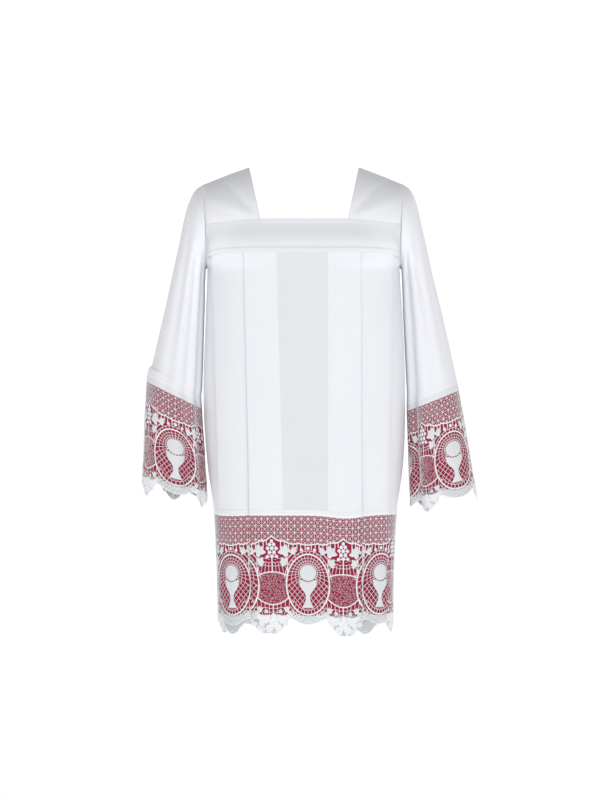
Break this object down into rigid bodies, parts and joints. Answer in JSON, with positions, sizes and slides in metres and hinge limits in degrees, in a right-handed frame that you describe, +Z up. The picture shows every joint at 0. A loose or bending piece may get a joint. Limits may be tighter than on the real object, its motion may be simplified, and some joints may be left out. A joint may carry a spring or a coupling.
{
  "type": "surplice",
  "caption": "White surplice with a square neck, knife pleats below a chest band, straight set-in sleeves and deep guipure lace over crimson at hem and cuffs.",
  "frame": {"origin": "midway between the two shoulders, level with the top of the shoulder strips at the neck, where the wearer's shoulders hold the garment up", "axes": "+Z up, +X to the viewer's right in front, -Y out of the front of the garment"},
  "size_m": [0.6781, 0.2884, 0.9382],
  "materials": {
    "white_cloth": "plain woven polyester cotton, matt with a faint sheen",
    "lace_thread": "chemical guipure lace in bright white thread",
    "crimson_cloth": "plain woven crimson lining"
  },
  "bodies": {
    "root": {"front": "white_cloth", "back": "white_cloth", "band_front": "white_cloth", "band_back": "white_cloth", "shoulder_left": "white_cloth", "shoulder_right": "white_cloth", "sleeve_left": "white_cloth", "sleeve_right": "white_cloth", "lining_front": "crimson_cloth", "lining_back": "crimson_cloth", "lining_sleeve_left": "crimson_cloth", "lining_sleeve_right": "crimson_cloth", "lace_front": "lace_thread", "lace_back": "lace_thread", "lace_sleeve_left_front": "lace_thread", "lace_sleeve_left_back": "lace_thread", "lace_sleeve_right_front": "lace_thread", "lace_sleeve_right_back": "lace_thread"}
  },
  "joints": []
}
